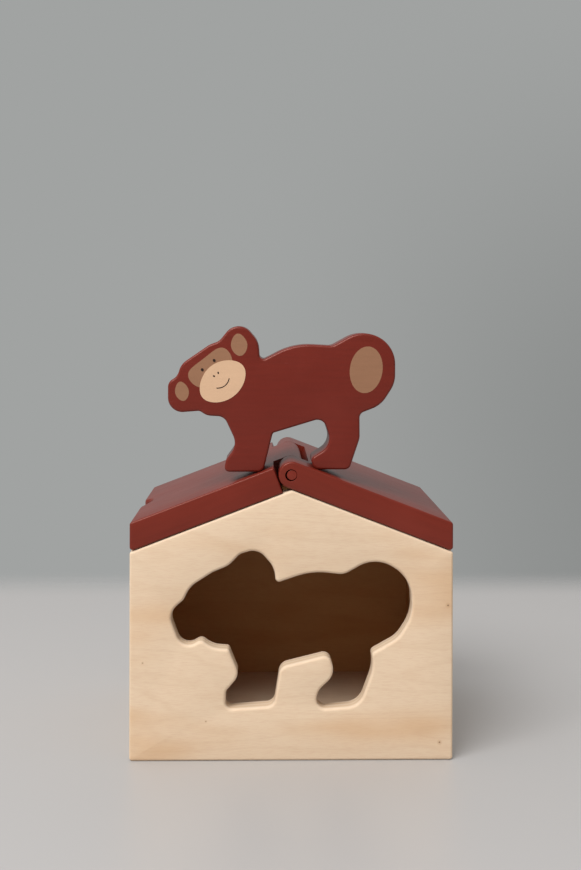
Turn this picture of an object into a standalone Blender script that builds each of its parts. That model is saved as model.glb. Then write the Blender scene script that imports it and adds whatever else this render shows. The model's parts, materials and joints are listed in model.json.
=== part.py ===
import math

import bmesh
import bpy
import numpy as np
from mathutils import Vector

# A toddler's shape sorter house: a plywood cabin, two red roof boards hinged at the ridge, one monkey block.
# Metres. +X is right, -Y is the front, +Z is up. The floor's underside lies on Z = 0.

# The cabin
HOUSE_WIDTH = 0.145
HOUSE_DEPTH = 0.115
EAVE_HEIGHT = 0.0932
ROOF_PITCH = math.radians(21)
WALL_THICKNESS = 0.009
FLOOR_THICKNESS = 0.009
WALL_ROUNDING = 0.0012
GABLE_PEAK_ROUNDING = 0.002
WALL_CORNER_ROUNDING = 0.0014

# The roof boards; their ridge ends are rounded to half their thickness
ROOF_THICKNESS = 0.012
ROOF_ROUNDING = 0.0009
EAVE_ROUNDING = 0.0014
NOTCH_WIDTH = 0.025
NOTCH_DEPTH = 0.0075

# The ridge hinge: an ear at each end of the fixed board, one long knuckle on the lid between them
EAR_LENGTH = 0.025
KNUCKLE_SIDE_GAP = 0.0006
KNUCKLE_END_GAP = 0.0006
PIN_DIAMETER = 0.0046
PIN_GRIP = 0.018
PIN_RECESS = 0.0004
EAR_BORE_CLEARANCE = 0.0005

# The monkey block and the cut-out that it drops through
BLOCK_LENGTH = 0.1027
BLOCK_HEIGHT = 0.0657
BLOCK_THICKNESS = 0.021
BLOCK_ROUNDING = 0.0011
BLOCK_SETBACK = 0.0045
BLOCK_SHIFT = -0.0046
FOOT_ROUNDING = 0.003
CUTOUT_CLEARANCE = 0.0018
CUTOUT_SILL_HEIGHT = 0.0248

# Blind dowels in the glued joints
DOWEL_DIAMETER = 0.005
DOWEL_LENGTH = 0.020
DOWEL_DEPTH_IN_FACE = 0.006

# Clearance between pieces that touch, and how far a cutter runs past what it cuts
SEAT_GAP = 0.0003
OVERRUN = 0.005
LEAST_ARC = 0.00005

ARC_STEP = math.radians(12)
DOWEL_SIDES = 12
PIN_SIDES = 32
BORE_SIDES = 32
NOTCH_SIDES = 64
ROUNDING_STEPS = 3

# Where the dowels sit, as shares of the length they are spread along
WALL_DOWEL_SHARES = (0.24, 0.80)
FLOOR_DOWEL_SHARES = (-0.45, 0.45)
ROOF_SLOPE_DOWEL_SHARES = (0.30, 0.86)

# Corners of the monkey's outline from the front toe round to the neck: x and rounding as shares of the
# block's length, z as a share of its height. The feet are left out, as they follow the roof's slopes.
BELLY_SHARES = (
    (0.461, 0.267, 0.015),
    (0.683, 0.373, 0.041),
    (0.724, 0.186, 0.087),
    (0.627, 0.093, 0.024),
)
RUMP_AND_TAIL_SHARES = (
    (0.844, 0.231, 0.081),
    (0.843, 0.402, 0.029),
    (0.937, 0.459, 0.125),
    (1.000, 0.611, 0.128),
    (1.000, 0.865, 0.135),
    (0.861, 0.985, 0.142),
    (0.723, 0.867, 0.052),
    (0.553, 0.881, 0.305),
    (0.403, 0.758, 0.019),
)
HEAD_SHARES = (
    (0.397, 0.895, 0.097),
    (0.339, 1.000, 0.087),
    (0.277, 1.000, 0.071),
    (0.223, 0.895, 0.090),
    (0.183, 0.875, 0.079),
    (0.057, 0.739, 0.175),
    (0.041, 0.653, 0.082),
    (0.000, 0.618, 0.064),
    (0.000, 0.402, 0.078),
    (0.139, 0.419, 0.026),
    (0.171, 0.386, 0.112),
    (0.247, 0.380, 0.046),
)
FRONT_LEG_SHARES = (
    (0.305, 0.187, 0.090),
    (0.255, 0.080, 0.016),
)
FRONT_TOE_SHARE = 0.245
FRONT_HEEL_SHARE = 0.419
HIND_TOE_SHARE = 0.643
HIND_HEEL_SHARE = 0.798
TOE_ROUNDING_SHARE = 0.030

# Corners of the cut-out before its clearance, in the same shares and order: a softer copy of the monkey
CUTOUT_SHARES = (
    (0.230, 0.001, 0.010),
    (0.409, 0.020, 0.022),
    (0.435, 0.281, 0.066),
    (0.675, 0.374, 0.051),
    (0.713, 0.199, 0.089),
    (0.632, 0.081, 0.060),
    (0.624, -0.001, 0.031),
    (0.785, 0.017, 0.066),
    (0.840, 0.251, 0.153),
    (0.831, 0.367, 0.039),
    (0.952, 0.472, 0.112),
    (1.011, 0.616, 0.162),
    (1.004, 0.845, 0.152),
    (0.868, 0.980, 0.143),
    (0.733, 0.859, 0.095),
    (0.590, 0.884, 0.298),
    (0.416, 0.793, 0.064),
    (0.407, 0.925, 0.089),
    (0.347, 1.033, 0.060),
    (0.283, 1.005, 0.039),
    (0.236, 0.927, 0.114),
    (0.164, 0.881, 0.015),
    (0.072, 0.789, 0.095),
    (0.042, 0.698, 0.039),
    (-0.017, 0.619, 0.110),
    (0.033, 0.411, 0.093),
    (0.109, 0.480, 0.102),
    (0.159, 0.415, 0.127),
    (0.238, 0.407, 0.033),
    (0.294, 0.196, 0.072),
    (0.232, 0.083, 0.008),
)

# Heights that follow from the sizes above
RIDGE_HEIGHT = EAVE_HEIGHT + HOUSE_WIDTH / 2 * math.tan(ROOF_PITCH)
HINGE_HEIGHT = RIDGE_HEIGHT + (ROOF_THICKNESS / 2 + SEAT_GAP) / math.cos(ROOF_PITCH)
ROOF_TOP_HEIGHT = HINGE_HEIGHT + ROOF_THICKNESS / 2 / math.cos(ROOF_PITCH)
KNUCKLE_RADIUS = ROOF_THICKNESS / 2

UPRIGHT = math.pi / 2

# Looks: sRGB colour and roughness
PLYWOOD = ("plywood", "E0C49C", 0.62)
RED_PAINT = ("red_paint", "722E27", 0.48)
BEECH = ("beech", "C79D6D", 0.60)


def linear(hex_colour):
    values = [int(hex_colour[i : i + 2], 16) / 255 for i in (0, 2, 4)]
    return [v / 12.92 if v <= 0.04045 else ((v + 0.055) / 1.055) ** 2.4 for v in values]


def new_collection(name):
    collection = bpy.data.collections.new(name)
    bpy.context.scene.collection.children.link(collection)
    return collection


def give_material(piece, look):
    look_name, hex_colour, roughness = look
    material = bpy.data.materials.new(f"{piece.name}_{look_name}")
    material.use_nodes = True
    shader = material.node_tree.nodes["Principled BSDF"]
    shader.inputs["Base Color"].default_value = (*linear(hex_colour), 1)
    shader.inputs["Roughness"].default_value = roughness
    shader.inputs["Metallic"].default_value = 0
    piece.data.materials.append(material)


def add_piece(name, mesh, collection, look=None):
    piece = bpy.data.objects.new(name, mesh)
    collection.objects.link(piece)
    if look is None:
        piece.hide_render = True
        piece.display_type = "WIRE"
    else:
        give_material(piece, look)
        mesh.shade_smooth()
        mesh.set_sharp_from_angle(angle=math.radians(35))
    return piece


# Each corner (x, y, rounding) of a polygon becomes an arc. A rounding is limited to what its two sides hold.
# grow moves the whole outline outwards by that much, about the same arc centres; an arc that would close
# stays open by LEAST_ARC.
def rounded_outline(corners, grow=0):
    spots = [np.array(corner[:2], float) for corner in corners]
    count = len(spots)
    points = []
    for i in range(count):
        before = spots[i - 1] - spots[i]
        after = spots[(i + 1) % count] - spots[i]
        reach = min(np.linalg.norm(before), np.linalg.norm(after)) / 2
        before = before / np.linalg.norm(before)
        after = after / np.linalg.norm(after)
        turn = math.pi - math.acos(float(np.clip(before @ after, -1, 1)))
        left = 1 if after[0] * before[1] - after[1] * before[0] > 0 else -1
        radius = min(corners[i][2], reach / math.tan(turn / 2))
        middle = spots[i] + (before + after) / np.linalg.norm(before + after) * (radius / math.cos(turn / 2))
        first = math.atan2(left * before[0], -left * before[1])
        steps = max(1, round(turn / ARC_STEP))
        for step in range(steps + 1):
            angle = first + left * turn * step / steps
            grown = max(radius + left * grow, LEAST_ARC)
            points.append(middle + grown * np.array([math.cos(angle), math.sin(angle)]))
    return points


# A flat outline made solid, with square rims
def flat_mesh(name, outline, thickness):
    curve = bpy.data.curves.new(name, "CURVE")
    curve.dimensions = "2D"
    curve.fill_mode = "BOTH"
    curve.extrude = thickness / 2
    spline = curve.splines.new("POLY")
    spline.points.add(len(outline) - 1)
    for point, (x, y) in zip(spline.points, outline):
        point.co = (x, y, 0, 1)
    spline.use_cyclic_u = True
    carrier = bpy.data.objects.new(name, curve)
    bpy.context.scene.collection.objects.link(carrier)
    evaluated = carrier.evaluated_get(bpy.context.evaluated_depsgraph_get())
    mesh = bpy.data.meshes.new_from_object(evaluated)
    bpy.data.objects.remove(carrier)
    bpy.data.curves.remove(curve)
    body = bmesh.new()
    body.from_mesh(mesh)
    bmesh.ops.remove_doubles(body, verts=body.verts, dist=SEAT_GAP / 100)
    bmesh.ops.recalc_face_normals(body, faces=body.faces)
    body.to_mesh(mesh)
    body.free()
    mesh.name = name
    return mesh


# A loft through copies of one outline, each at its own height and grown by its own amount
def lofted_mesh(name, corners, levels, mirrored=False):
    body = bmesh.new()
    rings = []
    for height, grow in levels:
        outline = rounded_outline(corners, grow)
        if mirrored:
            outline = [(-x, y) for x, y in reversed(outline)]
        rings.append([body.verts.new((x, y, height)) for x, y in outline])
    for low, high in zip(rings, rings[1:]):
        for i in range(len(low)):
            body.faces.new((low[i - 1], low[i], high[i], high[i - 1]))
    body.faces.new(reversed(rings[0]))
    body.faces.new(rings[-1])
    mesh = bpy.data.meshes.new(name)
    body.to_mesh(mesh)
    body.free()
    return mesh


# A quarter round rim as (height, grow) levels, from the flat face at height 0 to the full outline
def rim_levels(rounding):
    levels = []
    for step in range(ROUNDING_STEPS + 1):
        angle = UPRIGHT * step / ROUNDING_STEPS
        levels.append((rounding * (1 - math.cos(angle)), rounding * (math.sin(angle) - 1)))
    return levels


def rounded_slab_mesh(name, corners, thickness, rounding, mirrored=False):
    rim = rim_levels(rounding)
    low = [(height - thickness / 2, grow) for height, grow in rim]
    high = [(thickness / 2 - height, grow) for height, grow in reversed(rim)]
    return lofted_mesh(name, corners, low + high, mirrored)


def box_mesh(name, size):
    body = bmesh.new()
    bmesh.ops.create_cube(body, size=1)
    bmesh.ops.scale(body, vec=size, verts=body.verts)
    mesh = bpy.data.meshes.new(name)
    body.to_mesh(mesh)
    body.free()
    return mesh


def rod_mesh(name, radius, length, sides):
    body = bmesh.new()
    bmesh.ops.create_cone(body, cap_ends=True, segments=sides, radius1=radius, radius2=radius, depth=length)
    mesh = bpy.data.meshes.new(name)
    body.to_mesh(mesh)
    body.free()
    return mesh


def lay_along(piece, start, direction, length):
    direction = Vector(direction).normalized()
    piece.rotation_mode = "QUATERNION"
    piece.rotation_quaternion = direction.to_track_quat("Z", "Y")
    piece.location = Vector(start) + direction * length / 2


def cut(piece, cutter):
    modifier = piece.modifiers.new(cutter.name, "BOOLEAN")
    modifier.operation = "DIFFERENCE"
    modifier.object = cutter


def foot_height(foot_x):
    # A foot's rounded inner corner rests on the slope, SEAT_GAP clear of it
    arc_x = abs(foot_x) + FOOT_ROUNDING
    slope_height = ROOF_TOP_HEIGHT - arc_x * math.tan(ROOF_PITCH)
    return slope_height + (FOOT_ROUNDING + SEAT_GAP) / math.cos(ROOF_PITCH) - FOOT_ROUNDING


def placed(shares):
    return [(x * BLOCK_LENGTH, z * BLOCK_HEIGHT, r * BLOCK_LENGTH) for x, z, r in shares]


def block_corners():
    left = BLOCK_SHIFT - BLOCK_LENGTH / 2
    front_level = foot_height(left + FRONT_HEEL_SHARE * BLOCK_LENGTH)
    hind_level = foot_height(left + HIND_TOE_SHARE * BLOCK_LENGTH) - front_level
    toe = TOE_ROUNDING_SHARE * BLOCK_LENGTH
    front_foot = [
        (FRONT_TOE_SHARE * BLOCK_LENGTH, 0, toe),
        (FRONT_HEEL_SHARE * BLOCK_LENGTH, 0, FOOT_ROUNDING),
    ]
    hind_foot = [
        (HIND_TOE_SHARE * BLOCK_LENGTH, hind_level, FOOT_ROUNDING),
        (HIND_HEEL_SHARE * BLOCK_LENGTH, hind_level, toe),
    ]
    corners = front_foot + placed(BELLY_SHARES) + hind_foot
    corners += placed(RUMP_AND_TAIL_SHARES) + placed(HEAD_SHARES) + placed(FRONT_LEG_SHARES)
    return corners, left, front_level


# A wall's gable shape, in x and z, with its peak and lower corners eased
def gable_corners():
    half = HOUSE_WIDTH / 2
    return [
        (-half, 0, WALL_CORNER_ROUNDING),
        (half, 0, WALL_CORNER_ROUNDING),
        (half, EAVE_HEIGHT, WALL_CORNER_ROUNDING),
        (0, RIDGE_HEIGHT, GABLE_PEAK_ROUNDING),
        (-half, EAVE_HEIGHT, WALL_CORNER_ROUNDING),
    ]


# A gable wall is rounded on its outer face only. side is -1 for the front wall and 1 for the back wall.
def add_gable_wall(name, side):
    levels = [(WALL_THICKNESS / 2 - height, grow) for height, grow in reversed(rim_levels(WALL_ROUNDING))]
    levels.insert(0, (-WALL_THICKNESS / 2, 0))
    wall = add_piece(name, lofted_mesh(name, gable_corners(), levels), parts, PLYWOOD)
    wall.rotation_euler = (UPRIGHT, 0, 0 if side < 0 else math.pi)
    wall.location = (0, side * (HOUSE_DEPTH - WALL_THICKNESS) / 2, 0)
    return wall


# The cutter is the cut-out's outline with the clearance all round, flared to round the wall's outer edge
def cut_block_hole(wall):
    flare = [(WALL_THICKNESS / 2 - height, -grow) for height, grow in reversed(rim_levels(WALL_ROUNDING))]
    levels = [(-WALL_THICKNESS / 2 - OVERRUN, 0)] + flare + [(WALL_THICKNESS / 2 + OVERRUN, WALL_ROUNDING)]
    levels = [(height, grow + CUTOUT_CLEARANCE) for height, grow in levels]
    mesh = lofted_mesh("block_hole", placed(CUTOUT_SHARES), levels)
    cutter = add_piece("block_hole", mesh, cutters)
    cutter.rotation_euler = wall.rotation_euler
    cutter.location = wall.location + Vector((-BLOCK_LENGTH / 2, 0, CUTOUT_SILL_HEIGHT))
    cut(wall, cutter)


def add_side_wall(name, side):
    outer = HOUSE_WIDTH / 2
    inner = outer - WALL_THICKNESS
    inner_height = EAVE_HEIGHT + WALL_THICKNESS * math.tan(ROOF_PITCH)
    corners = ((inner, 0), (outer, 0), (outer, EAVE_HEIGHT), (inner, inner_height))
    outline = [(side * x, z) for x, z in corners]
    length = HOUSE_DEPTH - 2 * WALL_THICKNESS - 2 * SEAT_GAP
    wall = add_piece(name, flat_mesh(name, outline, length), parts, PLYWOOD)
    wall.rotation_euler = (UPRIGHT, 0, 0)
    return wall


def add_floor():
    width = HOUSE_WIDTH - 2 * WALL_THICKNESS - 2 * SEAT_GAP
    depth = HOUSE_DEPTH - 2 * WALL_THICKNESS - 2 * SEAT_GAP
    mesh = box_mesh("floor_panel", (width, depth, FLOOR_THICKNESS))
    floor = add_piece("floor_panel", mesh, parts, PLYWOOD)
    floor.location = (0, 0, FLOOR_THICKNESS / 2)
    return floor


# A roof board's section, along the slope from the hinge axis and across its thickness: round at the ridge,
# cut plumb at the eave. side is 1 for the right board and -1 for the left one.
def add_roof_board(name, side):
    half = ROOF_THICKNESS / 2
    plumb = HOUSE_WIDTH / 2 / math.cos(ROOF_PITCH)
    lean = half * math.tan(ROOF_PITCH)
    corners = [
        (-KNUCKLE_RADIUS, half, KNUCKLE_RADIUS),
        (-KNUCKLE_RADIUS, -half, KNUCKLE_RADIUS),
        (plumb + lean, -half, EAVE_ROUNDING),
        (plumb - lean, half, EAVE_ROUNDING),
    ]
    mesh = rounded_slab_mesh(name, corners, HOUSE_DEPTH, ROOF_ROUNDING, mirrored=side < 0)
    board = add_piece(name, mesh, parts, RED_PAINT)
    board.rotation_euler = (UPRIGHT, side * ROOF_PITCH, 0)
    board.location = (0, 0, HINGE_HEIGHT)
    return board


# A box that takes the round ridge end off a board between two places along the ridge, square to the slope
def ridge_cutter(name, side, start, end):
    reach = KNUCKLE_RADIUS + KNUCKLE_END_GAP
    size = (reach + ROOF_THICKNESS, end - start, ROOF_THICKNESS + 2 * OVERRUN)
    cutter = add_piece(name, box_mesh(name, size), cutters)
    offset = side * (reach - size[0] / 2)
    cutter.rotation_euler = (0, side * ROOF_PITCH, 0)
    cutter.location = (
        offset * math.cos(ROOF_PITCH),
        (start + end) / 2,
        HINGE_HEIGHT - side * offset * math.sin(ROOF_PITCH),
    )
    return cutter


def add_rod_cutter(name, radius, start, direction, length, sides):
    cutter = add_piece(name, rod_mesh(name, radius, length, sides), cutters)
    lay_along(cutter, start, direction, length)
    return cutter


# The ears stay at both ends of the fixed board, and the lid keeps its knuckle between them
def cut_hinge(fixed_board, lid):
    ear_end = HOUSE_DEPTH / 2 - EAR_LENGTH
    slot_end = ear_end + KNUCKLE_SIDE_GAP / 2
    knuckle_end = ear_end - KNUCKLE_SIDE_GAP / 2
    beyond = HOUSE_DEPTH / 2 + OVERRUN
    cut(fixed_board, ridge_cutter("knuckle_slot", 1, -slot_end, slot_end))
    cut(lid, ridge_cutter("front_ear_slot", -1, -beyond, -knuckle_end))
    cut(lid, ridge_cutter("back_ear_slot", -1, knuckle_end, beyond))
    pin_radius = PIN_DIAMETER / 2
    for place, side in (("front", -1), ("back", 1)):
        outer = side * (HOUSE_DEPTH / 2 - PIN_RECESS)
        length = EAR_LENGTH - PIN_RECESS + PIN_GRIP
        inwards = (0, -side, 0)
        pin_name = f"{place}_hinge_pin"
        pin = add_piece(pin_name, rod_mesh(pin_name, pin_radius, length, PIN_SIDES), parts, RED_PAINT)
        lay_along(pin, (0, outer, HINGE_HEIGHT), inwards, length)
        bores = (
            (fixed_board, "ear_bore", EAR_BORE_CLEARANCE, EAR_LENGTH + OVERRUN),
            (lid, "grip_bore", SEAT_GAP, EAR_LENGTH + PIN_GRIP + SEAT_GAP),
        )
        for board, bore_name, clearance, depth in bores:
            cutter_name = f"{place}_{bore_name}"
            start = (0, side * beyond, HINGE_HEIGHT)
            radius = pin_radius + clearance
            cut(board, add_rod_cutter(cutter_name, radius, start, inwards, OVERRUN + depth, BORE_SIDES))


# A round cutter square to the lid takes a shallow arc out of its eave edge, half way along
def cut_finger_notch(lid):
    radius = (NOTCH_WIDTH**2 / 4 + NOTCH_DEPTH**2) / (2 * NOTCH_DEPTH)
    along = HOUSE_WIDTH / 2 / math.cos(ROOF_PITCH) + radius - NOTCH_DEPTH
    normal = Vector((-math.sin(ROOF_PITCH), 0, math.cos(ROOF_PITCH)))
    middle = Vector((-along * math.cos(ROOF_PITCH), 0, HINGE_HEIGHT - along * math.sin(ROOF_PITCH)))
    length = ROOF_THICKNESS + 2 * OVERRUN
    start = middle - normal * length / 2
    cut(lid, add_rod_cutter("finger_notch", radius, start, normal, length, NOTCH_SIDES))


# A dowel crosses the joint between a piece's face and another piece's edge. seat is the joint's middle and
# direction runs from the face into the edge.
def add_dowel(name, seat, direction, joined):
    direction = Vector(direction).normalized()
    start = Vector(seat) - direction * DOWEL_DEPTH_IN_FACE
    dowel = add_piece(name, rod_mesh(name, DOWEL_DIAMETER / 2, DOWEL_LENGTH, DOWEL_SIDES), parts, BEECH)
    lay_along(dowel, start, direction, DOWEL_LENGTH)
    hole_radius = DOWEL_DIAMETER / 2 + SEAT_GAP
    hole_start = start - direction * SEAT_GAP
    hole_length = DOWEL_LENGTH + 2 * SEAT_GAP
    hole = add_rod_cutter(f"{name}_hole", hole_radius, hole_start, direction, hole_length, DOWEL_SIDES)
    for piece in joined:
        cut(piece, hole)


def add_dowels(front_wall, back_wall, left_wall, right_wall, floor, fixed_board):
    wall_middle = HOUSE_WIDTH / 2 - WALL_THICKNESS / 2
    inner_width = HOUSE_WIDTH / 2 - WALL_THICKNESS
    inner_depth = HOUSE_DEPTH / 2 - WALL_THICKNESS
    floor_middle = FLOOR_THICKNESS / 2
    for end_name, end_wall, end in (("front", front_wall, -1), ("back", back_wall, 1)):
        for side_name, side_wall, side in (("left", left_wall, -1), ("right", right_wall, 1)):
            for number, share in enumerate(WALL_DOWEL_SHARES, 1):
                seat = (side * wall_middle, end * inner_depth, share * EAVE_HEIGHT)
                add_dowel(f"{end_name}_{side_name}_dowel_{number}", seat, (0, -end, 0), (end_wall, side_wall))
        for number, share in enumerate(FLOOR_DOWEL_SHARES, 1):
            seat = (share * inner_width, end * inner_depth, floor_middle)
            add_dowel(f"{end_name}_floor_dowel_{number}", seat, (0, -end, 0), (end_wall, floor))
    for side_name, side_wall, side in (("left", left_wall, -1), ("right", right_wall, 1)):
        for number, share in enumerate(FLOOR_DOWEL_SHARES, 1):
            seat = (side * inner_width, share * inner_depth, floor_middle)
            add_dowel(f"{side_name}_floor_dowel_{number}", seat, (-side, 0, 0), (side_wall, floor))
    into_walls = (-math.sin(ROOF_PITCH), 0, -math.cos(ROOF_PITCH))
    for end_name, end_wall, end in (("front", front_wall, -1), ("back", back_wall, 1)):
        for number, share in enumerate(ROOF_SLOPE_DOWEL_SHARES, 1):
            x = share * HOUSE_WIDTH / 2
            seat = (x, end * (HOUSE_DEPTH / 2 - WALL_THICKNESS / 2), RIDGE_HEIGHT - x * math.tan(ROOF_PITCH))
            add_dowel(f"{end_name}_roof_dowel_{number}", seat, into_walls, (fixed_board, end_wall))
    for number, share in enumerate(FLOOR_DOWEL_SHARES, 1):
        seat = (wall_middle, share * inner_depth, RIDGE_HEIGHT - wall_middle * math.tan(ROOF_PITCH))
        add_dowel(f"side_roof_dowel_{number}", seat, (0, 0, -1), (fixed_board, right_wall))


def add_block():
    corners, left, level = block_corners()
    mesh = rounded_slab_mesh("monkey_block", corners, BLOCK_THICKNESS, BLOCK_ROUNDING)
    block = add_piece("monkey_block", mesh, parts, RED_PAINT)
    block.rotation_euler = (UPRIGHT, 0, 0)
    block.location = (left, -HOUSE_DEPTH / 2 + BLOCK_SETBACK + BLOCK_THICKNESS / 2, level)


def build():
    front_wall = add_gable_wall("front_gable_wall", -1)
    back_wall = add_gable_wall("back_gable_wall", 1)
    cut_block_hole(front_wall)
    left_wall = add_side_wall("left_side_wall", -1)
    right_wall = add_side_wall("right_side_wall", 1)
    floor = add_floor()
    fixed_board = add_roof_board("fixed_roof_board", 1)
    lid = add_roof_board("lid_roof_board", -1)
    cut_hinge(fixed_board, lid)
    cut_finger_notch(lid)
    add_dowels(front_wall, back_wall, left_wall, right_wall, floor, fixed_board)
    add_block()


for old in list(bpy.data.objects):
    bpy.data.objects.remove(old)
parts = new_collection("shape_sorter_house")
cutters = new_collection("cutters")
build()
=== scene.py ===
import json
import math

import bmesh
import bpy
import numpy as np
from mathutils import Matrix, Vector, geometry


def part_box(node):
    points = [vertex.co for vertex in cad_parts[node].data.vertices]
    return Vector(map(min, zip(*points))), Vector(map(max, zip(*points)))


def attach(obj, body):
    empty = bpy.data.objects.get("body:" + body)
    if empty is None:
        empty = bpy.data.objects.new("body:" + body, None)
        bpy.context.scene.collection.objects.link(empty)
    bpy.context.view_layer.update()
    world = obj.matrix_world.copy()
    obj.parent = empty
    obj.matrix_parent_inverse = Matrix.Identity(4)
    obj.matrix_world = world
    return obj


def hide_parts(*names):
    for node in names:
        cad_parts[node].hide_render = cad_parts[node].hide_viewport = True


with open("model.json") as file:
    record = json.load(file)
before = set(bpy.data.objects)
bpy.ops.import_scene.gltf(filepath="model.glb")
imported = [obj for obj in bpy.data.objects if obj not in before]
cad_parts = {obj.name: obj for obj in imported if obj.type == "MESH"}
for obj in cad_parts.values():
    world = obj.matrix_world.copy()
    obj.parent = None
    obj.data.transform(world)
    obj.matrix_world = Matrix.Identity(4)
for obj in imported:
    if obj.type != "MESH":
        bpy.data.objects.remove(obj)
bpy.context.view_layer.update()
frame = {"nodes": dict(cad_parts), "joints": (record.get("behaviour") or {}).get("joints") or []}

mm = 0.001
frontLow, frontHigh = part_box("front_gable_wall")
hingePoint = next(j for j in frame["joints"] if j["name"] == "lid_hinge")["pos_m"]

# Sizes that several pieces share, in metres
house = {
    "halfWidth": frontHigh[0],
    "halfDepth": -frontLow[1],
    "eave": 93.2 * mm,
    "wall": frontHigh[1] - frontLow[1],
    "pitch": math.radians(21),
    "hingeHeight": hingePoint[2],
    "pinRadius": 2.3 * mm,
}

# How finely curves are drawn, and below which lengths points and edges are merged
curves = {
    "arcStep": math.radians(4), "eaveArcStep": math.radians(9), "rimSteps": 5, "roofRimSteps": 4,
    "notchSlices": 49, "smilePoints": 25, "capPoints": 9, "leastArc": 0.05 * mm,
    "weld": 0.002 * mm, "leastEdge": 0.001 * mm, "flatTolerance": 1e-6,
    "sharpAngle": math.radians(32),
}


# Surfaces

# Points at the given angles on a circle about the origin
def onCircle(angles, radius=1.0):
    return radius * np.stack([np.cos(angles), np.sin(angles)], 1)


# Polygon corners (x, z, radius) with an arc in each: the arc's centre lies on the corner's
# bisector, and grow adds to the radius of a convex arc and takes from that of a concave one.
def roundOutline(corners, grow=0.0, step=curves["arcStep"]):
    spots = np.array([corner[:2] for corner in corners], float)
    radii = np.array([corner[2] for corner in corners], float)
    before = np.roll(spots, 1, 0) - spots
    after = np.roll(spots, -1, 0) - spots
    reach = np.minimum(np.linalg.norm(before, axis=1), np.linalg.norm(after, axis=1)) / 2
    before /= np.linalg.norm(before, axis=1)[:, None]
    after /= np.linalg.norm(after, axis=1)[:, None]
    turn = np.pi - np.arccos(np.clip((before * after).sum(1), -1, 1))
    left = np.where(after[:, 0] * before[:, 1] - after[:, 1] * before[:, 0] > 0, 1, -1)
    radius = np.minimum(radii, reach / np.tan(turn / 2))
    bisector = (before + after) / np.linalg.norm(before + after, axis=1)[:, None]
    middle = spots + bisector * (radius / np.cos(turn / 2))[:, None]
    first = np.arctan2(left * before[:, 0], -left * before[:, 1])
    arcs = []
    for i in range(len(spots)):
        share = np.linspace(0, 1, max(1, round(turn[i] / step)) + 1)
        angle = first[i] + left[i] * turn[i] * share
        grown = max(radius[i] + left[i] * grow, curves["leastArc"])
        arcs.append(middle[i] + onCircle(angle, grown))
    return np.concatenate(arcs)


# A quarter-round rim as (depth, grow) pairs: depth = r (1 - cos a), grow = r (sin a - 1)
def rimLevels(radius, steps=curves["rimSteps"]):
    angle = np.linspace(0, np.pi / 2, steps + 1)
    return np.stack([radius * (1 - np.cos(angle)), radius * (np.sin(angle) - 1)], 1)


# Points (a, b) of an outline set upright at depth y: world (a, y, b)
def upright(outline, y):
    outline = np.asarray(outline, float)
    return np.stack([outline[:, 0], np.full(len(outline), y), outline[:, 1]], 1)


# Rings of equal count joined by quads: row i of the grid is ring i, column j its point j
def ringSkin(rings):
    rings = np.asarray(rings)
    index = np.arange(rings.shape[0] * rings.shape[1]).reshape(rings.shape[:2])
    low, high = index[:-1], index[1:]
    quads = np.stack([low, np.roll(low, -1, 1), np.roll(high, -1, 1), high], -1)
    return rings.reshape(-1, 3), quads.reshape(-1, 4).tolist()


# Even-odd test of many points against one closed outline
def isInside(points, outline):
    x, y = points[:, None, 0], points[:, None, 1]
    a, b = outline[None], np.roll(outline, -1, 0)[None]
    spans = (a[..., 1] > y) != (b[..., 1] > y)
    rise = np.where(b[..., 1] == a[..., 1], 1, b[..., 1] - a[..., 1])
    crossing = a[..., 0] + (y - a[..., 1]) * (b[..., 0] - a[..., 0]) / rise
    return (spans & (x < crossing)).sum(1) % 2 == 1


# A flat face between an outline and its holes: constrained Delaunay triangles, of which those
# whose middles lie inside are kept
def flatSkin(outline, holes, place):
    loops = [np.asarray(loop) for loop in [outline, *holes]]
    points = np.concatenate(loops)
    edges, start = [], 0
    for loop in loops:
        index = np.arange(len(loop)) + start
        edges += np.stack([index, np.roll(index, -1)], 1).tolist()
        start += len(loop)
    vectors = [Vector(p) for p in points / mm]
    found = geometry.delaunay_2d_cdt(vectors, edges, [], 0, curves["flatTolerance"])
    flat = np.array([tuple(v) for v in found[0]]) * mm
    faces = np.array(found[2])
    middles = flat[faces].mean(1)
    keep = isInside(middles, loops[0])
    for hole in loops[1:]:
        keep &= ~isInside(middles, hole)
    return place(flat), faces[keep].tolist()


# Skins welded into one closed mesh, its normals turned outwards and its arcs shaded smooth
def makePiece(name, skins, material, body, node=None):
    points, faces, start = [], [], 0
    for skinPoints, skinFaces in skins:
        points.append(skinPoints)
        faces += [[i + start for i in face] for face in skinFaces]
        start += len(skinPoints)
    mesh = bpy.data.meshes.new(name)
    mesh.from_pydata(np.concatenate(points).tolist(), [], faces)
    work = bmesh.new()
    work.from_mesh(mesh)
    bmesh.ops.remove_doubles(work, verts=work.verts, dist=curves["weld"])
    bmesh.ops.dissolve_degenerate(work, edges=work.edges, dist=curves["leastEdge"])
    bmesh.ops.recalc_face_normals(work, faces=work.faces)
    work.to_mesh(mesh)
    work.free()
    mesh.shade_smooth()
    mesh.set_sharp_from_angle(angle=curves["sharpAngle"])
    piece = bpy.data.objects.new(name, mesh)
    bpy.context.scene.collection.objects.link(piece)
    piece.data.materials.append(material)
    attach(piece, body)
    if node:
        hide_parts(node)
    return piece


# Materials

# sRGB hex to linear: v / 12.92 near black, else ((v + 0.055) / 1.055) to the power 2.4
def colour(hexValue):
    values = [int(hexValue[i:i + 2], 16) / 255 for i in (0, 2, 4)]
    linear = [v / 12.92 if v <= 0.04045 else ((v + 0.055) / 1.055) ** 2.4 for v in values]
    return (*linear, 1.0)


# A node with its settings and links: a setting that names an input fills it, a link is (input, source)
def addNode(tree, kind, settings=None, links=()):
    node = tree.nodes.new(kind)
    for key, value in (settings or {}).items():
        if isinstance(key, int) or key in node.inputs:
            node.inputs[key].default_value = value
        else:
            setattr(node, key, value)
    for key, source in links:
        tree.links.new(source, node.inputs[key])
    return node


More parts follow.
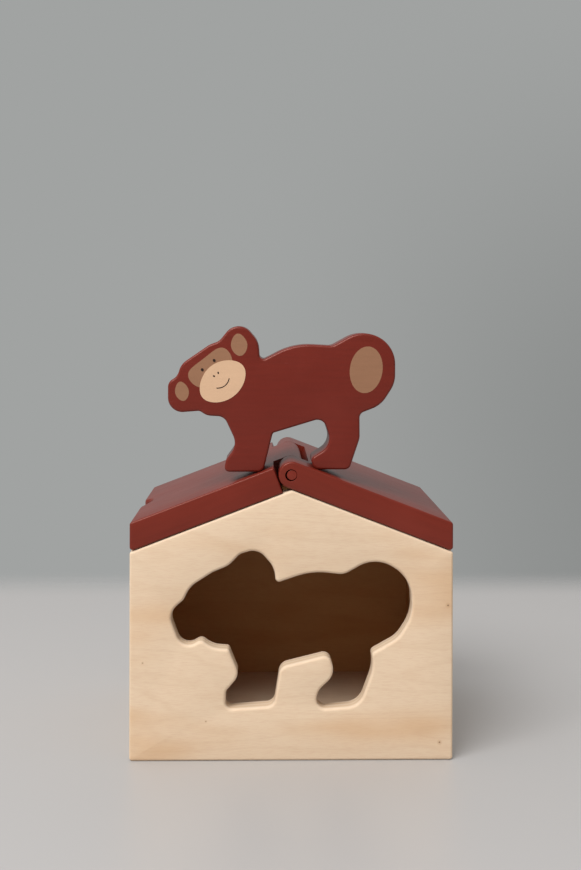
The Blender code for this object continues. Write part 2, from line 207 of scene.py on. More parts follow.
def startMaterial(name, roughness, specular):
    material = bpy.data.materials.new(name)
    material.use_nodes = True
    tree = material.node_tree
    shader = tree.nodes["Principled BSDF"]
    shader.inputs["Roughness"].default_value = roughness
    shader.inputs["Specular IOR Level"].default_value = specular
    return material, tree, shader


# Noise in Object coordinates. noise is (grain size in millimetres, times longer along the grain,
# detail, roughness, shift in metres); lean turns it about y.
def grainNoise(tree, noise, along="x", lean=0.0, warp=0.0):
    size, times, detail, rough, shift = noise
    scale = [size * mm * times if axis == along else size * mm for axis in "xyz"]
    place = addNode(tree, "ShaderNodeTexCoord").outputs["Object"]
    mapped = addNode(tree, "ShaderNodeMapping",
                     {"vector_type": "TEXTURE", "Location": shift, "Rotation": (0, lean, 0),
                      "Scale": scale},
                     [("Vector", place)])
    noiseNode = addNode(tree, "ShaderNodeTexNoise",
                        {"Scale": 1.0, "Detail": detail, "Roughness": rough, "Distortion": warp},
                        [("Vector", mapped.outputs[0])])
    return noiseNode.outputs["Fac"]


# A value eased from the range low to high into the range toLow to toHigh
def rangeOf(tree, value, low, high, toLow=0.0, toHigh=1.0):
    node = addNode(tree, "ShaderNodeMapRange", {"interpolation_type": "SMOOTHSTEP"},
                   [("Value", value)])
    for key, number in (("From Min", low), ("From Max", high), ("To Min", toLow), ("To Max", toHigh)):
        node.inputs[key].default_value = number
    return node.outputs["Result"]


def calc(tree, operation, first, second=None):
    node = addNode(tree, "ShaderNodeMath", {"operation": operation})
    for slot, value in ((0, first), (1, second)):
        if isinstance(value, (int, float)):
            node.inputs[slot].default_value = value
        elif value is not None:
            tree.links.new(value, node.inputs[slot])
    return node.outputs[0]


def mixColour(tree, factor, first, second, blend="MIX"):
    node = addNode(tree, "ShaderNodeMix", {"data_type": "RGBA", "blend_type": blend})
    for slot, value in ((0, factor), (6, first), (7, second)):
        if isinstance(value, (int, float, tuple)):
            node.inputs[slot].default_value = value
        else:
            tree.links.new(value, node.inputs[slot])
    return node.outputs[2]


# Fine relief of the surface from a height
def addRelief(tree, shader, height, strength=0.3):
    bump = addNode(tree, "ShaderNodeBump", {"Strength": strength, "Distance": 0.05 * mm},
                   [("Height", height)])
    tree.links.new(bump.outputs[0], shader.inputs["Normal"])


# Birch plywood, rotary-cut, sanded and left bare: to the eye a pale, faintly pink face with fine
# fibres, wide soft clouds and a few thin growth lines, and cut edges hardly darker, where the plies
# just show. A mix is (from low, from high, to low, to high) of its noise; a knot's rings are
# (inner and outer size in knot sizes, share, tone).
birch = {
    "pale": "EAD0B2", "warm": "DDB68D", "line": "C59A72", "fibreTone": "D4A98A",
    # The cabin tone is painted shade: it darkens and warms the faces that look into the dim cabin.
    "edgePale": "E8D3BA", "edgeDark": "DEC5A6", "glue": "BF9A74", "paintedCabinShade": "E2C194",
    "knot": "6B4A2E", "roughness": 0.6, "specular": 0.3,
    "cloudNoise": (26, 3.5, 2.0, 0.5, (0.31, 0.7, 0.283)), "cloudMix": (0.48, 0.72, 0.0, 0.75),
    "lineNoise": (15, 9, 1.5, 0.45, (0.2, 0.4, 0.117)), "lineMix": (0.0, 0.22, 0.1, 0.0),
    "lineWarp": 0.25, "lineCount": 9.0,
    "fibreNoise": (0.36, 11, 3.0, 0.6, (0, 0, 0)), "fibreMix": (0.4, 0.72, 0.0, 0.26),
    "poreNoise": (0.25, 9, 2.0, 0.5, (0.04, 0.01, 0.02)), "poreMix": (0.66, 0.8, 0.0, 0.24),
    "knotRings": ((1.0, 3.5, 0.4, "line"), (0.4, 1.0, 0.85, "knot")),
    "plies": 5, "plyWave": 0.3, "glueMix": (0.02, 0.08, 0.3, 0.0),
    "endNoise": (0.5, 1, 3.0, 0.6, (0, 0, 0)), "endShare": 0.3,
    # The cabin range sets which faces take that painted shade.
    "faceFrom": (0.55, 0.8), "cabinShadeFrom": (0.5, 0.8),
    "fibreHeight": 0.7, "poreHeight": -0.5, "roughnessMix": (0.2, 0.8, 0.54, 0.68),
}


# The sheet's face, with small dark knots at (x, z, size) on the front wall
def plywoodFace(tree, along, field, fibre, pores, position, knots):
    cloud = grainNoise(tree, birch["cloudNoise"], along)
    lines = calc(tree, "FRACT", calc(tree, "MULTIPLY", field, birch["lineCount"]))
    lines = calc(tree, "ABSOLUTE", calc(tree, "SUBTRACT", lines, 0.5))
    face = colour(birch["pale"])
    for value, mix, tone in ((cloud, "cloudMix", "warm"), (lines, "lineMix", "line"),
                             (fibre, "fibreMix", "fibreTone"), (pores, "poreMix", "line")):
        face = mixColour(tree, rangeOf(tree, value, *birch[mix]), face, colour(birch[tone]))
    for x, z, size in knots:
        spot = (x, -house["halfDepth"], z)
        near = addNode(tree, "ShaderNodeVectorMath", {"operation": "DISTANCE", 1: spot},
                       [(0, position)]).outputs["Value"]
        for inner, outer, share, tone in birch["knotRings"]:
            ring = rangeOf(tree, near, size * inner, size * outer, share, 0.0)
            face = mixColour(tree, ring, face, colour(birch[tone]))
    return face


# The sheet's cut edge: plies that alternate in tone, with end grain and thin glue lines
def plywoodEdge(tree, field, position, axis, middle):
    across = addNode(tree, "ShaderNodeSeparateXYZ", None, [(0, position)]).outputs[axis]
    ply = calc(tree, "SUBTRACT", across, middle - house["wall"] / 2)
    ply = calc(tree, "DIVIDE", ply, house["wall"] / birch["plies"])
    wave = calc(tree, "MULTIPLY", calc(tree, "SUBTRACT", field, 0.5), birch["plyWave"])
    ply = calc(tree, "ADD", ply, wave)
    odd = calc(tree, "GREATER_THAN", calc(tree, "MODULO", ply, 2.0), 1.0)
    edge = mixColour(tree, odd, colour(birch["edgePale"]), colour(birch["edgeDark"]))
    endGrain = calc(tree, "MULTIPLY", grainNoise(tree, birch["endNoise"]), birch["endShare"])
    edge = mixColour(tree, endGrain, edge, colour(birch["line"]))
    inPly = calc(tree, "FRACT", ply)
    fromLine = calc(tree, "MINIMUM", inPly, calc(tree, "SUBTRACT", 1.0, inPly))
    glueLine = rangeOf(tree, fromLine, *birch["glueMix"])
    return mixColour(tree, glueLine, edge, colour(birch["glue"]))


# along is the grain's axis, across the plies', middle where the sheet's middle lies on it, and
# inward the direction of the face that looks into the cabin, whose tone is darkened and warmed as painted shade.
def plywood(name, along, across, middle, inward=None, knots=()):
    material, tree, shader = startMaterial(name, birch["roughness"], birch["specular"])
    place = addNode(tree, "ShaderNodeTexCoord").outputs
    axis = "xyz".index(across)
    field = grainNoise(tree, birch["lineNoise"], along, warp=birch["lineWarp"])
    fibre = grainNoise(tree, birch["fibreNoise"], along)
    pores = grainNoise(tree, birch["poreNoise"], along)
    face = plywoodFace(tree, along, field, fibre, pores, place["Object"], knots)
    edge = plywoodEdge(tree, field, place["Object"], axis, middle)
    normal = addNode(tree, "ShaderNodeSeparateXYZ", None, [(0, place["Normal"])]).outputs[axis]
    faceShare = rangeOf(tree, calc(tree, "ABSOLUTE", normal), *birch["faceFrom"])
    skin = mixColour(tree, faceShare, edge, face)
    # Painted shade: faces that look into the cabin are darkened and warmed by the cabin tone.
    if inward:
        paintedCabinShade = rangeOf(tree, calc(tree, "MULTIPLY", normal, inward), *birch["cabinShadeFrom"])
        skin = mixColour(tree, paintedCabinShade, skin, colour(birch["paintedCabinShade"]), "MULTIPLY")
    tree.links.new(skin, shader.inputs["Base Color"])
    fibreHeight = calc(tree, "MULTIPLY", fibre, birch["fibreHeight"])
    poreHeight = calc(tree, "MULTIPLY", pores, birch["poreHeight"])
    addRelief(tree, shader, calc(tree, "ADD", fibreHeight, poreHeight))
    tree.links.new(rangeOf(tree, fibre, *birch["roughnessMix"]), shader.inputs["Roughness"])
    return material


# Water-based satin paint, sprayed on sanded wood: to the eye an even brick red with a soft sheen at
# low angles, through which the wood's fibres and a few pale rubbed streaks still show. Seen head-on
# its sheen takes the paint's warmth. A layer is its noise, the noise's range, its share and its
# tone, (times, plus) of the paint's own; the layers in leaning follow the slope of the board.
satin = {
    "specular": 0.6, "tint": "E6C0B4", "leaning": ("streak", "fibre"),
    "layers": {
        "streak": ((1.8, 12, 3.0, 0.55, (0.02, 0.03, 0.01)), (0.35, 0.75), 0.5, (0.8, 0.0)),
        "cloud": ((24, 1, 2.0, 0.55, (0, 0, 0)), (0.4, 0.8), 0.4, (1.2, 0.003)),
        "grit": ((0.7, 1, 3.0, 0.65, (0, 0, 0)), (0.55, 0.75), 0.3, (1.2, 0.003)),
        "fibre": ((0.45, 16, 4.0, 0.6, (0, 0, 0)), (0.66, 0.8), 0.6, (1.3, 0.03)),
    },
    "streakHeight": 0.8, "relief": 0.3, "roughnessFrom": (0.2, 0.8), "roughnessBy": (-0.05, 0.08),
}


def paint(name, hexValue, along, roughness=0.34, strength=1.0, lean=0.0):
    material, tree, shader = startMaterial(name, roughness, satin["specular"])
    shader.inputs["Specular Tint"].default_value = colour(satin["tint"])
    base = colour(hexValue)
    skin, noises = base, {}
    for key, (noise, (low, high), share, (times, plus)) in satin["layers"].items():
        slope = lean if key in satin["leaning"] else 0.0
        noises[key] = grainNoise(tree, noise, along, slope)
        tone = (*(min(1, c * times + plus) for c in base[:3]), 1.0)
        amount = rangeOf(tree, noises[key], low, high, 0.0, share * strength)
        skin = mixColour(tree, amount, skin, tone)
    tree.links.new(skin, shader.inputs["Base Color"])
    height = calc(tree, "MULTIPLY", noises["streak"], satin["streakHeight"])
    height = calc(tree, "ADD", calc(tree, "ADD", noises["fibre"], height), noises["grit"])
    addRelief(tree, shader, height, satin["relief"] * strength)
    less, more = satin["roughnessBy"]
    spread = rangeOf(tree, noises["fibre"], *satin["roughnessFrom"], roughness + less, roughness + more)
    tree.links.new(spread, shader.inputs["Roughness"])
    return material


# Beech, turned and left bare: warm tan with short dark flecks
beechLook = {
    "pale": "B98A5C", "fleck": "8F6238", "roughness": 0.6, "specular": 0.35,
    "fleckNoise": (0.4, 12, 3.0, 0.55, (0, 0, 0)), "fleckFrom": (0.45, 0.75),
}


def beech(name, along):
    material, tree, shader = startMaterial(name, beechLook["roughness"], beechLook["specular"])
    fleck = grainNoise(tree, beechLook["fleckNoise"], along)
    amount = rangeOf(tree, fleck, *beechLook["fleckFrom"])
    tone = mixColour(tree, amount, colour(beechLook["pale"]), colour(beechLook["fleck"]))
    tree.links.new(tone, shader.inputs["Base Color"])
    addRelief(tree, shader, fleck)
    return material


# 1 for the rays that see the backdrop: the camera's own, mirror rays and rays through glass
def seenRays(tree):
    rays = addNode(tree, "ShaderNodeLightPath").outputs
    mirrored = calc(tree, "MAXIMUM", rays["Is Glossy Ray"], rays["Is Transmission Ray"])
    return calc(tree, "MAXIMUM", rays["Is Camera Ray"], mirrored)


# Finishes of the nodes that stay as they are
def dressCadNodes():
    wallDepth = house["halfDepth"] - house["wall"] / 2
    wallSide = house["halfWidth"] - house["wall"] / 2
    # The walls' faces into the cabin get painted shade, a darker and warmer tone; the floor gets none.
    finishes = {
        "back_gable_wall": plywood("birchPlywoodBack", "x", "y", wallDepth, -1),
        "left_side_wall": plywood("birchPlywoodLeft", "y", "x", -wallSide, 1),
        "right_side_wall": plywood("birchPlywoodRight", "y", "x", wallSide, -1),
        "floor_panel": plywood("birchPlywoodFloor", "x", "z", house["wall"] / 2),
    }
    dowelFinish = {axis: beech(f"beechDowel{axis.upper()}", axis) for axis in "xyz"}
    for name in frame["nodes"]:
        finish = finishes.get(name)
        if finish is None and "dowel" in name:
            low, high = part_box(name)
            sides = [h - l for l, h in zip(low, high)]
            finish = dowelFinish["xyz"[sides.index(max(sides))]]
        if finish:
            bpy.data.objects[name].material_slots[0].material = finish
    print("stage: finishes on the kept nodes")


# The block and its cut-out

# Corners of the monkey, (x, z, radius) as shares of its length, height and length; sizes in millimetres
block = {
    "length": 102.7, "height": 65.7, "rounding": 1.1,
    "frontFoot": [(0.245, 0.000, 0.030), (0.419, 0.000, 0.0292)],
    "belly": [(0.461, 0.267, 0.015), (0.683, 0.373, 0.041), (0.724, 0.186, 0.087), (0.627, 0.093, 0.024)],
    "hindFoot": [(0.643, 0.000, 0.0292), (0.798, 0.000, 0.030)],
    "rumpAndTail": [
        (0.844, 0.231, 0.081), (0.843, 0.402, 0.029), (0.937, 0.459, 0.125), (1.000, 0.611, 0.128),
        (1.000, 0.865, 0.135), (0.861, 0.985, 0.142), (0.723, 0.867, 0.052), (0.553, 0.881, 0.305),
        (0.403, 0.758, 0.019),
    ],
    "head": [
        (0.397, 0.895, 0.097), (0.339, 1.000, 0.087), (0.277, 1.000, 0.071), (0.223, 0.895, 0.090),
        (0.183, 0.875, 0.079), (0.057, 0.739, 0.175), (0.041, 0.653, 0.082), (0.000, 0.618, 0.064),
        (0.000, 0.402, 0.078), (0.139, 0.419, 0.026), (0.171, 0.386, 0.112), (0.247, 0.380, 0.046),
    ],
    "frontLeg": [(0.305, 0.187, 0.090), (0.255, 0.080, 0.016)],
}

# The cut-out is a softer copy of the monkey, in the same shares, and a clearance larger all round
cutout = {
    "sill": 24.8, "clearance": 1.8, "rounding": 1.4, "innerRounding": 0.4,
    "corners": [
        (0.230, 0.001, 0.010), (0.409, 0.020, 0.022), (0.435, 0.281, 0.066), (0.675, 0.374, 0.051),
        (0.713, 0.199, 0.089), (0.632, 0.081, 0.060), (0.624, -0.001, 0.031), (0.785, 0.017, 0.066),
        (0.840, 0.251, 0.153), (0.831, 0.367, 0.039), (0.952, 0.472, 0.112), (1.011, 0.616, 0.162),
        (1.004, 0.845, 0.152), (0.868, 0.980, 0.143), (0.733, 0.859, 0.095), (0.590, 0.884, 0.298),
        (0.416, 0.793, 0.064), (0.407, 0.925, 0.089), (0.347, 1.033, 0.060), (0.283, 1.005, 0.039),
        (0.236, 0.927, 0.114), (0.164, 0.881, 0.015), (0.072, 0.789, 0.095), (0.042, 0.698, 0.039),
        (-0.017, 0.619, 0.110), (0.033, 0.411, 0.093), (0.109, 0.480, 0.102), (0.159, 0.415, 0.127),
        (0.238, 0.407, 0.033), (0.294, 0.196, 0.072), (0.232, 0.083, 0.008),
    ],
}
blockLow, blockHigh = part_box("monkey_block")


# The height at which a foot's rounded inner corner meets the roof's slope, less the front foot's own height
def hindFootLift():
    def rest(x):
        arc = abs(x) + block["frontFoot"][1][2] * block["length"] * mm
        return -arc * math.tan(house["pitch"])
    front = rest(blockLow[0] + block["frontFoot"][1][0] * block["length"] * mm)
    hind = rest(blockLow[0] + block["hindFoot"][0][0] * block["length"] * mm)
    return hind - front


def placeCorners(shares, originX, originZ):
    length, height = block["length"] * mm, block["height"] * mm
    return [(originX + x * length, originZ + z * height, r * length) for x, z, r in shares]


def monkeyCorners():
    lift = hindFootLift() / (block["height"] * mm)
    hind = [(x, z + lift, r) for x, z, r in block["hindFoot"]]
    shares = block["frontFoot"] + block["belly"] + hind + block["rumpAndTail"] + block["head"] + block["frontLeg"]
    return placeCorners(shares, blockLow[0], blockLow[2])


# A slab between two depths: rings at each rim level, closed by a flat face front and back
def slabSkins(corners, front, back, rounding):
    rim = rimLevels(rounding)
    rings = [upright(roundOutline(corners, grow), front + depth) for depth, grow in rim]
    rings += [upright(roundOutline(corners, grow), back - depth) for depth, grow in rim[::-1]]
    skins = [ringSkin(rings)]
    outline = roundOutline(corners, -rounding)
    for y in (front, back):
        skins.append(flatSkin(outline, [], lambda flat, y=y: upright(flat, y)))
    return skins


def makeMonkey():
    skins = slabSkins(monkeyCorners(), blockLow[1], blockHigh[1], block["rounding"] * mm)
    makePiece("monkeyBlock", skins, paint("redSatinPaintBlock", "6F2218", "x"), "monkey", "monkey_block")
    print("stage: monkey block")


# The printed colours on both faces. Ovals are (across, up, half width, half height, tilt, pinch) in millimetres
# and degrees; those of the face are in its own tilted frame, the others in the block's.
marks = {
    "faceCentre": (21.05, 44.2), "faceTilt": 38.0, "film": 0.06,
    "tan": {"mask": (0.3, 2.9, 10.8, 7.4, 0.0, 0.24)},
    "cream": {"muzzle": (0.8, -4.7, 11.6, 8.0, 0.0, -0.06)},
    "black": {
        "eyeNear": (-3.2, 4.9, 0.62, 0.74, 0.0, 0.0), "eyeFar": (3.6, 4.9, 0.62, 0.74, 0.0, 0.0),
        "nostrilNear": (-0.8, -0.6, 0.36, 0.54, 24.0, 0.0), "nostrilFar": (1.6, -0.6, 0.36, 0.54, -24.0, 0.0),
    },
    "onBlock": {"topEar": (32.05, 57.4, 3.7, 4.6, 8.0, -0.1), "sideEar": (6.35, 36.4, 3.1, 4.0, 12.0, -0.1),
                "tail": (89.45, 46.2, 7.4, 10.6, -8.0, 0.0)},
    "smile": {"centre": (0.4, -1.8), "radius": 5.2, "half": 42.0, "width": 0.42},
}


# An oval: a point at angle t is (a cos t (1 + pinch sin t), b sin t (1 + pinch cos 2t)), turned by its tilt
def ovalOutline(across, up, halfWidth, halfHeight, tilt, pinch, count=64):
    angle = np.linspace(0, 2 * np.pi, count + 1)[:-1]
    x = halfWidth * np.cos(angle) * (1 + pinch * 0.5 * np.sin(angle))
    z = halfHeight * np.sin(angle) * (1 + pinch * np.cos(2 * angle))
    turn = math.radians(tilt)
    return np.stack([across + x * math.cos(turn) - z * math.sin(turn), up + x * math.sin(turn) + z * math.cos(turn)], 1)


# A stroke along an arc below its centre: radius plus and minus half the width, closed by round ends
def strokeOutline(centre, radius, half, width):
    sweep = np.radians(np.linspace(-90 - half, -90 + half, curves["smilePoints"]))
    outer = (radius + width / 2) * np.stack([np.cos(sweep), np.sin(sweep)], 1)
    inner = (radius - width / 2) * np.stack([np.cos(sweep), np.sin(sweep)], 1)[::-1]
    ends = []
    for angle, turn in ((sweep[-1], 0), (sweep[0], np.pi)):
        cap = angle + turn + np.linspace(0, np.pi, curves["capPoints"])[1:-1]
        middle = radius * np.array([np.cos(angle), np.sin(angle)])
        ends.append(middle + width / 2 * np.stack([np.cos(cap), np.sin(cap)], 1))
    return np.concatenate([outer, ends[0], inner, ends[1]]) + centre


# Face frame to block frame: turned by the head's tilt, then moved to the face's centre
def onFace(outline):
    turn = math.radians(marks["faceTilt"])
    x, z = outline.T
    return np.stack([x * math.cos(turn) - z * math.sin(turn), x * math.sin(turn) + z * math.cos(turn)], 1) + marks["faceCentre"]


# A film of ink: the outline raised off the block's front or back face
def inkPiece(name, outline, material, lift=1.0):
    outline = outline * mm + (blockLow[0], blockLow[2])
    for end, face, out in (("Front", blockLow[1], -1), ("Back", blockHigh[1], 1)):
        top = face + out * marks["film"] * mm * lift
        skins = [ringSkin([upright(outline, face), upright(outline, top)])]
        for y in (face, top):
            skins.append(flatSkin(outline, [], lambda flat, y=y: upright(flat, y)))
        makePiece(name + end, skins, material, "monkey")


def makeMarks():
    tan, cream, black = (paint(f"{name}SatinInk", value, "x", 0.5, strength) for name, value, strength in
                         (("tan", "986F54", 0.6), ("cream", "DBB593", 0.35), ("black", "1C1512", 0.2)))
    for name, oval in marks["tan"].items():
        inkPiece(name, onFace(ovalOutline(*oval)), tan)
    for name, oval in marks["cream"].items():
        inkPiece(name, onFace(ovalOutline(*oval)), cream, 2.0)
    for name, oval in marks["black"].items():
        inkPiece(name, onFace(ovalOutline(*oval, count=24)), black, 3.0)
    smile = marks["smile"]
    inkPiece("smile", onFace(strokeOutline(smile["centre"], smile["radius"], smile["half"], smile["width"])), black, 3.0)
    for name, oval in marks["onBlock"].items():
        inkPiece(name, ovalOutline(*oval), tan)
    print("stage: printed colours")


# The front wall, with the block's outline cut through it and both rims eased
def makeFrontWall():
    wall = {"rounding": 1.2, "cornerRadius": 1.4, "peakRadius": 2.0}
    half, ridge = house["halfWidth"], house["eave"] + house["halfWidth"] * math.tan(house["pitch"])
    corner, rounding = wall["cornerRadius"] * mm, wall["rounding"] * mm
    gable = [(-half, 0, corner), (half, 0, corner), (half, house["eave"], corner),
             (0, ridge, wall["peakRadius"] * mm), (-half, house["eave"], corner)]
    hole = placeCorners(cutout["corners"], -block["length"] * mm / 2, cutout["sill"] * mm)
    front, back = -house["halfDepth"], -house["halfDepth"] + house["wall"]
    clear, soft, inner = (cutout[key] * mm for key in ("clearance", "rounding", "innerRounding"))
    outerRings = [upright(roundOutline(gable, grow), front + depth) for depth, grow in rimLevels(rounding)]
    outerRings.append(upright(roundOutline(gable), back))
    holeRings = [upright(roundOutline(hole, clear - grow), front + depth) for depth, grow in rimLevels(soft)]
    holeRings += [upright(roundOutline(hole, clear - grow), back - depth) for depth, grow in rimLevels(inner)[::-1]]
    faces = [
        flatSkin(roundOutline(gable, -rounding), [roundOutline(hole, clear + soft)], lambda f: upright(f, front)),
        flatSkin(roundOutline(gable), [roundOutline(hole, clear + inner)], lambda f: upright(f, back)),
    ]
    knots = [(70.2 * mm, 69.4 * mm, 0.5 * mm), (66.5 * mm, 8 * mm, 0.45 * mm), (-38.2 * mm, 17.7 * mm, 0.25 * mm),
             (-66.5 * mm, 43.9 * mm, 0.25 * mm)]
    # Its back face looks into the cabin and gets painted shade.
    finish = plywood("birchPlywoodFront", "x", "y", (front + back) / 2, 1, knots)
    makePiece("frontWall", [ringSkin(outerRings), ringSkin(holeRings), *faces], finish, "house",
              "front_gable_wall")
    print("stage: front wall")


# The roof boards
roof = {
    "thickness": 12.0, "rounding": 0.9, "eaveRadius": 1.4, "ear": 25.0, "sideGap": 0.6, "endGap": 0.6,
    "notchWidth": 25.0, "notchDepth": 7.5, "boreClearance": 0.36, "boreChamfer": 0.1,
    "boreShift": (-0.28, -0.19), "pinEase": 0.35,
}


# A board's section at one place along the ridge, in slope distance u and height n over its middle plane:
# round or square at the ridge, cut plumb at the eave, or square to the board where the notch reaches in.
def boardSection(roundEnd, grow, notchU=None):
    half = roof["thickness"] * mm / 2
    cutU = half + roof["endGap"] * mm
    plumb, lean = house["halfWidth"] / math.cos(house["pitch"]), half * math.tan(house["pitch"])
    low, high = plumb + lean, plumb - lean
    if notchU is not None:
        low, high = min(low, notchU), min(high, notchU)
    radius = roof["eaveRadius"] * mm
    eave = roundOutline([(0, -half, radius), (low, -half, radius), (high, half, radius), (0, half, radius)], grow,
                        curves["eaveArcStep"])
    eave = eave[eave[:, 0] > half * 2]
    if roundEnd:
        angle = np.linspace(np.pi / 2, 3 * np.pi / 2, 37)
        arc = (half + grow) * np.stack([np.cos(angle), np.sin(angle)], 1)
        top, bottom = [(cutU, half + grow)], [(cutU, -half - grow)]
        return np.concatenate([eave, top, arc, bottom])
    return np.concatenate([eave, [(cutU - grow, half + grow), (cutU - grow, -half - grow)]])


# Section points turned down the slope: x = side (u cos p + n sin p), z = axis height - u sin p + n cos p
def onSlope(side, section, y):
    u, n = np.asarray(section, float).T
    cosine, sine = math.cos(house["pitch"]), math.sin(house["pitch"])
    return np.stack([side * (u * cosine + n * sine), np.full(len(u), y), house["hingeHeight"] - u * sine + n * cosine], 1)


# The wall of an ear or a knuckle: what the round end covers and the square one doesn't
def stepSkin(side, y, holes):
    half = roof["thickness"] * mm / 2
    cutU = half + roof["endGap"] * mm
    angle = np.linspace(np.pi / 2, 3 * np.pi / 2, 37)
    arc = half * np.stack([np.cos(angle), np.sin(angle)], 1)
    loop = np.concatenate([[(cutU, half)], arc, [(cutU, -half)]])
    return flatSkin(loop, holes, lambda flat: onSlope(side, flat, y))


# A board as stretches along the ridge, each (start, end, round end or not), with eased outer rims
def boardSkins(side, stretches, notchAt=None, bores=False):
    rim = rimLevels(roof["rounding"] * mm, curves["roofRimSteps"])
    endY = house["halfDepth"]
    skins, holes, wideHoles = [], [], []
    if bores:
        radius, chamfer = house["pinRadius"] + roof["boreClearance"] * mm, roof["boreChamfer"] * mm
        angle = np.linspace(0, 2 * np.pi, 49)[:-1]
        circle = np.stack([np.cos(angle), np.sin(angle)], 1)
        centre = np.array(roof["boreShift"]) * mm
        holes, wideHoles = [circle * radius + centre], [circle * (radius + chamfer) + centre]
    for number, (start, end, roundEnd) in enumerate(stretches):
        places = [(start, 0.0), (end, 0.0)]
        if number == 0:
            places = [(-endY + depth, grow) for depth, grow in rim] + places[1:]
        if number == len(stretches) - 1:
            places = places[:-1] + [(endY - depth, grow) for depth, grow in rim[::-1]]
        if notchAt and start < 0 < end:
            slices = np.linspace(-notchAt["reach"], notchAt["reach"], curves["notchSlices"])
            places = places[:1] + [(y, 0.0) for y in slices] + places[1:]
        rings = []
        for y, grow in places:
            notchU = None
            if notchAt and abs(y) < notchAt["reach"]:
                notchU = notchAt["centre"] - math.sqrt(notchAt["radius"] ** 2 - y ** 2)
            rings.append(onSlope(side, boardSection(roundEnd, grow, notchU), y))
        skins.append(ringSkin(rings))
        if number:
            skins.append(stepSkin(side, start, holes))
    ends = ((-endY, stretches[0][1], stretches[0][2]), (endY, stretches[-1][0], stretches[-1][2]))
    for y, inner, roundEnd in ends:
        if bores:
            places = [(y, wideHoles[0]), (y - np.sign(y) * chamfer, holes[0]), (inner, holes[0])]
            skins.append(ringSkin([onSlope(side, loop, at) for at, loop in places]))
        section = boardSection(roundEnd, -roof["rounding"] * mm)
        skins.append(flatSkin(section, wideHoles, lambda flat, y=y: onSlope(side, flat, y)))
    return skins


def makeRoof():
    ear = house["halfDepth"] - roof["ear"] * mm
    gap = roof["sideGap"] * mm / 2
    end = house["halfDepth"]
    fixed = [(-end, -ear - gap, True), (-ear - gap, ear + gap, False), (ear + gap, end, True)]
    finish = paint("redSatinPaintFixedBoard", "74261A", "x", lean=house["pitch"])
    makePiece("fixedRoofBoard", boardSkins(1, fixed, bores=True), finish, "house", "fixed_roof_board")
    width, depth = roof["notchWidth"] * mm, roof["notchDepth"] * mm
    radius = (width ** 2 / 4 + depth ** 2) / (2 * depth)
    notch = {"radius": radius, "centre": house["halfWidth"] / math.cos(house["pitch"]) + radius - depth,
             "reach": min(radius * 0.999, width / 2 + 2.5 * mm)}
    lid = [(-end, -ear + gap, False), (-ear + gap, ear - gap, True), (ear - gap, end, False)]
    finish = paint("redSatinPaintLid", "74261A", "x", lean=-house["pitch"])
    makePiece("lidRoofBoard", boardSkins(-1, lid, notchAt=notch), finish, "lid", "lid_roof_board")
    print("stage: roof boards")


# A pin turned from rod: rings of radius r along the ridge, both ends eased by a quarter round, and painted over
def makePins():
    angle = np.linspace(0, 2 * np.pi, 49)[:-1]
    circle = np.stack([np.cos(angle), np.sin(angle)], 1)
    finish = paint("redSatinPaintPins", "7C2A1E", "y")
    for name, node in (("frontHingePin", "front_hinge_pin"), ("backHingePin", "back_hinge_pin")):
        low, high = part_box(node)
        radius = (high[0] - low[0]) / 2
        rim = rimLevels(roof["pinEase"] * mm, curves["roofRimSteps"])
        places = [(low[1] + depth, grow) for depth, grow in rim]
        places += [(high[1] - depth, grow) for depth, grow in rim[::-1]]
        rings = [onSlope(1, circle * (radius + grow), y) for y, grow in places]
        skins = [ringSkin(rings)]
        for y, grow in (places[0], places[-1]):
            skins.append(flatSkin(circle * (radius + grow), [], lambda flat, y=y: onSlope(1, flat, y)))
        makePiece(name, skins, finish, "lid", node)
    print("stage: hinge pins")


# The stage

# Satin table top: pale grey, its far edge fading to the backdrop as a distant edge out of focus does
def makeFloor():
    floor = {"side": 3.0, "top": "AEACAB", "fadeStart": 0.258, "fadeEnd": 0.350}
    mesh = bpy.data.meshes.new("tableTop")
    side, far = floor["side"], floor["fadeEnd"]
    mesh.from_pydata([(-side, -side, 0), (side, -side, 0), (side, far, 0), (-side, far, 0)], [], [(0, 1, 2, 3)])
    table = bpy.data.objects.new("tableTop", mesh)
    bpy.context.scene.collection.objects.link(table)
    material, tree, shader = startMaterial("satinTable", 0.42, 0.7)
    shader.inputs["Base Color"].default_value = colour(floor["top"])
    place = addNode(tree, "ShaderNodeTexCoord").outputs["Object"]
    y = addNode(tree, "ShaderNodeSeparateXYZ", None, [(0, place)]).outputs[1]
    fade = rangeOf(tree, y, floor["fadeStart"], floor["fadeEnd"])
    clear = addNode(tree, "ShaderNodeBsdfTransparent")
    mix = addNode(tree, "ShaderNodeMixShader", None,
                  [(0, calc(tree, "MULTIPLY", fade, seenRays(tree))), (1, shader.outputs[0]), (2, clear.outputs[0])])
    tree.links.new(mix.outputs[0], tree.nodes["Material Output"].inputs[0])
    table.data.materials.append(material)
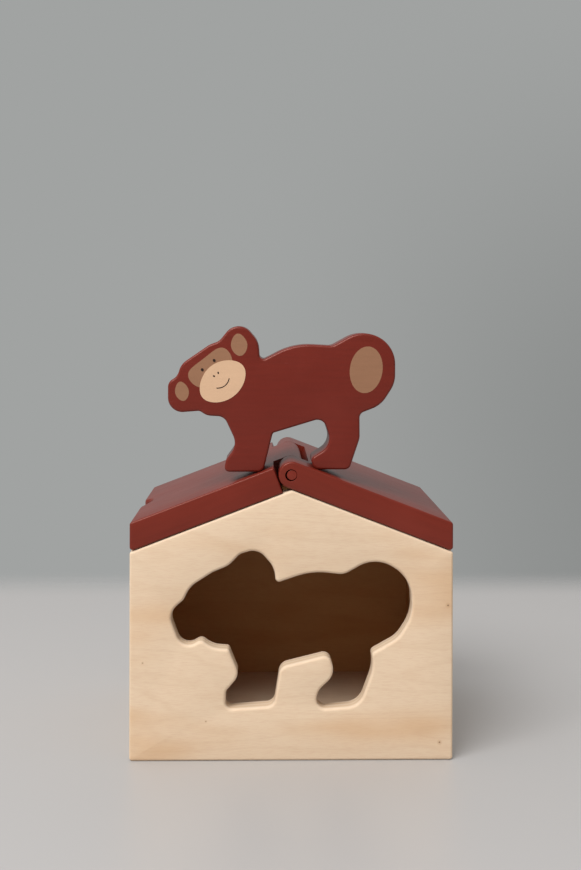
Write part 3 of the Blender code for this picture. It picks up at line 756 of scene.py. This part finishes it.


# Soft window light from the upper left and a room that is brighter above and behind than in front. The
# camera sees a grey backdrop, darker low on the right by painted shade.
def makeLight():
    light = {"backdrop": "A1A3A2", "backdropShade": "8C8E8D", "room": "F6F4F2", "roomLow": 0.25, "roomHigh": 0.9,
             "brightSide": (-0.25, 0.35, 0.9), "size": 1.1, "power": 32.0, "place": (-0.65, -1.0, 1.55)}
    world = bpy.data.worlds.new("studio")
    bpy.context.scene.world = world
    world.use_nodes = True
    tree = world.node_tree
    tree.nodes.clear()
    direction = addNode(tree, "ShaderNodeTexCoord").outputs["Generated"]
    facing = addNode(tree, "ShaderNodeVectorMath", {"operation": "DOT_PRODUCT", 1: light["brightSide"]},
                     [(0, direction)]).outputs["Value"]
    strength = rangeOf(tree, facing, -0.3, 0.8, light["roomLow"], light["roomHigh"])
    room = addNode(tree, "ShaderNodeBackground", {"Color": colour(light["room"])}, [("Strength", strength)])
    split = addNode(tree, "ShaderNodeSeparateXYZ", None, [(0, direction)]).outputs
    # Painted shade: the backdrop's grey darkens towards the lower right.
    corner = calc(tree, "MULTIPLY", rangeOf(tree, split[0], -0.05, 0.32), rangeOf(tree, split[2], 0.3, -0.1))
    shadedBackdropGrey = mixColour(tree, corner, colour(light["backdrop"]), colour(light["backdropShade"]))
    backdrop = addNode(tree, "ShaderNodeBackground", {"Strength": 1.0}, [("Color", shadedBackdropGrey)])
    mix = addNode(tree, "ShaderNodeMixShader", None, [(0, seenRays(tree)), (1, room.outputs[0]), (2, backdrop.outputs[0])])
    addNode(tree, "ShaderNodeOutputWorld", None, [(0, mix.outputs[0])])
    lamp = bpy.data.lights.new("window", "AREA")
    lamp.size = light["size"]
    lamp.energy = light["power"]
    window = bpy.data.objects.new("window", lamp)
    bpy.context.scene.collection.objects.link(window)
    spot = Vector(light["place"])
    window.location = spot
    window.rotation_euler = (Vector((0, 0, 0.08)) - spot).to_track_quat("-Z", "Y").to_euler()


# The camera: lens and place from the photograph's straight edges, in pixels of its 581 by 870 frame
def makeCamera():
    view = {"frameHeight": 870, "focal": 1208, "axisRow": 320.7, "place": (-11.4, -540.3, 197.3),
            "pitch": 0.04, "yaw": 1.12, "roll": -0.15}
    camera = bpy.data.cameras.new("camera")
    camera.sensor_width = 36
    camera.lens = 36 * view["focal"] / view["frameHeight"]
    camera.shift_y = (view["axisRow"] - view["frameHeight"] / 2) / view["frameHeight"]
    camera.clip_start = 0.01
    cameraObject = bpy.data.objects.new("camera", camera)
    bpy.context.scene.collection.objects.link(cameraObject)
    x, y, z = (v * mm for v in view["place"])
    cameraObject.location = (x, y - house["halfDepth"], z)
    cameraObject.rotation_euler = (math.radians(90 - view["pitch"]), math.radians(view["roll"]),
                                   math.radians(-view["yaw"]))
    bpy.context.scene.camera = cameraObject


makeCamera()
makeLight()
makeFloor()
dressCadNodes()
makeFrontWall()
makeRoof()
makePins()
makeMonkey()
makeMarks()
bpy.context.scene.view_settings.view_transform = "Standard"
